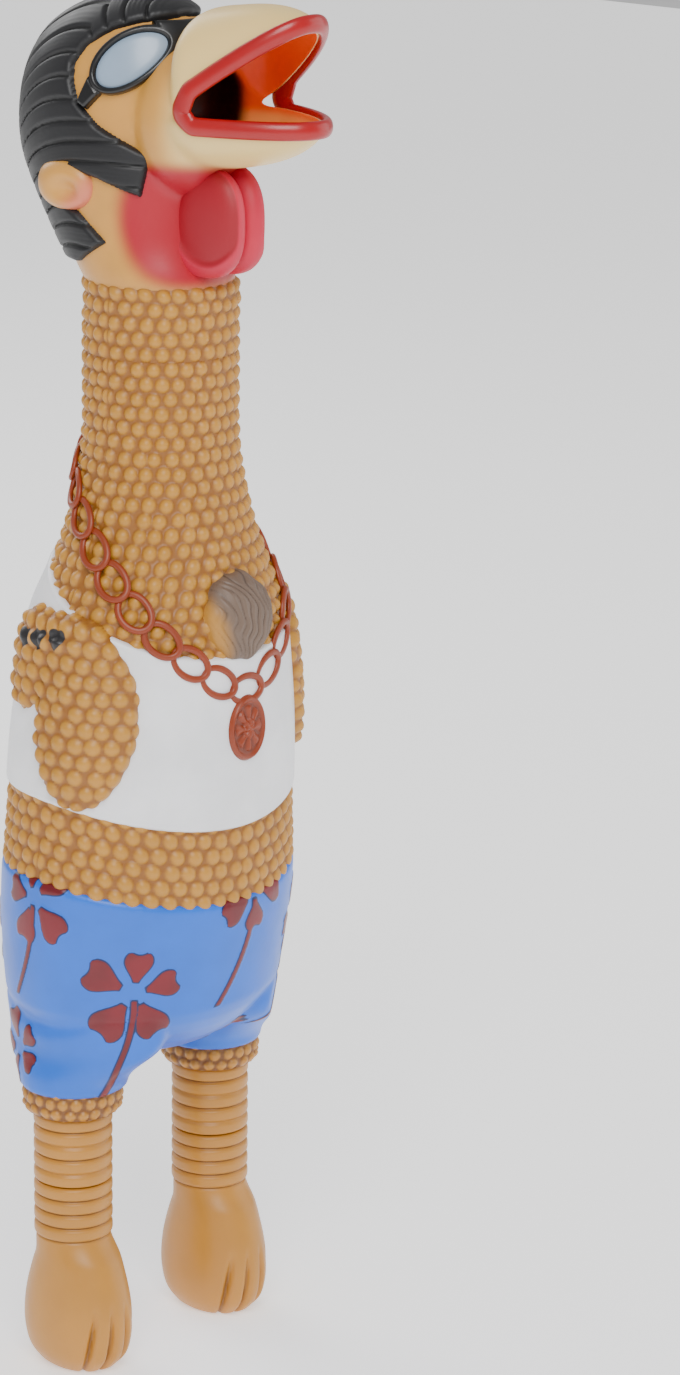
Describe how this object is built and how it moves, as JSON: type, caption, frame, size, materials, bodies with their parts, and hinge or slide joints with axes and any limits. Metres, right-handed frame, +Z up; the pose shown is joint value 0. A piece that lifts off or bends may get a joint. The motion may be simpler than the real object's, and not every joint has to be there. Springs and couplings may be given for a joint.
{
  "type": "rubber chicken",
  "caption": "Tall hollow latex squeeze chicken in a tank top and printed shorts, open-beaked, with a sound unit in its throat.",
  "frame": {"origin": "on the ground under the middle of the whole chicken's box, between the feet", "axes": "+Z up along the standing chicken, -Y the way its beak points, +X to the chicken's left"},
  "size_m": [0.1068, 0.1184, 0.4334],
  "materials": {
    "bumpy_latex": "satin natural latex, moulded all over in round bumps, painted tan",
    "leg_latex": "satin natural latex painted tan, ribbed shins and smooth feet",
    "face_latex": "smooth satin latex painted cream, sprayed with red round the wattles",
    "lip_paint": "glossy red painted latex lips with an orange lining",
    "wattle_paint": "glossy pink-red painted latex",
    "hair_paint": "satin charcoal painted latex with combed grooves",
    "glasses_paint": "glossy black painted latex",
    "lens_paint": "glossy pale blue-grey painted latex",
    "shirt_paint": "satin white painted latex",
    "shorts_paint": "satin bright blue painted latex with dark red flowers",
    "chain_paint": "copper-brown painted latex links",
    "tuft_paint": "grey-brown painted latex in wavy strands",
    "sound_unit_plastic": "moulded off-white plastic",
    "reed_metal": "thin rolled spring strip"
  },
  "bodies": {
    "trunk": {"shorts": "shorts_paint", "waist_band": "bumpy_latex", "tank_top": "shirt_paint", "chest_and_neck_base": "bumpy_latex", "neck_bend": "bumpy_latex", "necklace": "chain_paint", "pendant": "chain_paint", "chest_tuft": "tuft_paint", "wing_right": "bumpy_latex", "wing_left": "bumpy_latex", "leg_cuff_right": "bumpy_latex", "leg_cuff_left": "bumpy_latex", "hip_bend_right": "leg_latex", "hip_bend_left": "leg_latex"},
    "press_zone": {"back_press_zone": "shirt_paint"},
    "neck": {"neck": "bumpy_latex", "nape_bend": "bumpy_latex"},
    "head": {"head_and_upper_beak": "face_latex", "chin_bend": "face_latex", "hair": "hair_paint", "sunglasses_frame": "glasses_paint", "sunglasses_lens_right": "lens_paint", "sunglasses_lens_left": "lens_paint", "ear_right": "face_latex", "ear_left": "face_latex", "wattle_right": "wattle_paint", "wattle_left": "wattle_paint", "squawker_barrel": "sound_unit_plastic", "squawker_reed_base": "sound_unit_plastic", "squawker_cap": "sound_unit_plastic"},
    "reed": {"squawker_reed": "reed_metal"},
    "jaw": {"lower_beak": "lip_paint"},
    "leg_right": {"shin_right": "leg_latex", "ankle_bend_right": "leg_latex"},
    "leg_left": {"shin_left": "leg_latex", "ankle_bend_left": "leg_latex"},
    "foot_right": {"foot_right": "leg_latex"},
    "foot_left": {"foot_left": "leg_latex"}
  },
  "joints": [
    {"name": "neck_nod", "type": "hinge", "parent": "trunk", "child": "neck", "pos_m": [0, 0.00938, 0.31], "axis": [1, 0, 0], "range_deg": [-35, 40], "stiffness_Nm_per_rad": 2, "deforming": ["neck_bend"]},
    {"name": "head_tilt", "type": "hinge", "parent": "neck", "child": "head", "pos_m": [0, 0.00928, 0.3375], "axis": [0, 1, 0], "range_deg": [-25, 25], "stiffness_Nm_per_rad": 2, "deforming": ["nape_bend"]},
    {"name": "beak_close", "type": "hinge", "parent": "head", "child": "jaw", "pos_m": [0, -0.01822, 0.4], "axis": [-1, 0, 0], "range_deg": [-6, 18], "stiffness_Nm_per_rad": 0.4, "deforming": ["chin_bend"]},
    {"name": "reed_flex", "type": "hinge", "parent": "head", "child": "reed", "pos_m": [0, 0.01223, 0.357], "axis": [1, 0, 0], "range_deg": [0, 8], "stiffness_Nm_per_rad": 0.004},
    {"name": "back_press", "type": "slide", "parent": "trunk", "child": "press_zone", "axis": [0, -1, 0], "range_m": [0, 0.012], "stiffness_N_per_m": 400},
    {"name": "hip_right", "type": "hinge", "parent": "trunk", "child": "leg_right", "pos_m": [-0.0315, 0.01728, 0.077], "axis": [1, 0, 0], "range_deg": [-35, 35], "stiffness_Nm_per_rad": 1.5, "deforming": ["hip_bend_right"]},
    {"name": "ankle_right", "type": "hinge", "parent": "leg_right", "child": "foot_right", "pos_m": [-0.0315, 0.01728, 0.0505], "axis": [1, 0, 0], "range_deg": [-35, 30], "stiffness_Nm_per_rad": 1.5, "deforming": ["ankle_bend_right"]},
    {"name": "hip_left", "type": "hinge", "parent": "trunk", "child": "leg_left", "pos_m": [0.0315, 0.01728, 0.077], "axis": [1, 0, 0], "range_deg": [-35, 35], "stiffness_Nm_per_rad": 1.5, "deforming": ["hip_bend_left"]},
    {"name": "ankle_left", "type": "hinge", "parent": "leg_left", "child": "foot_left", "pos_m": [0.0315, 0.01728, 0.0505], "axis": [1, 0, 0], "range_deg": [-35, 30], "stiffness_Nm_per_rad": 1.5, "deforming": ["ankle_bend_left"]}
  ]
}
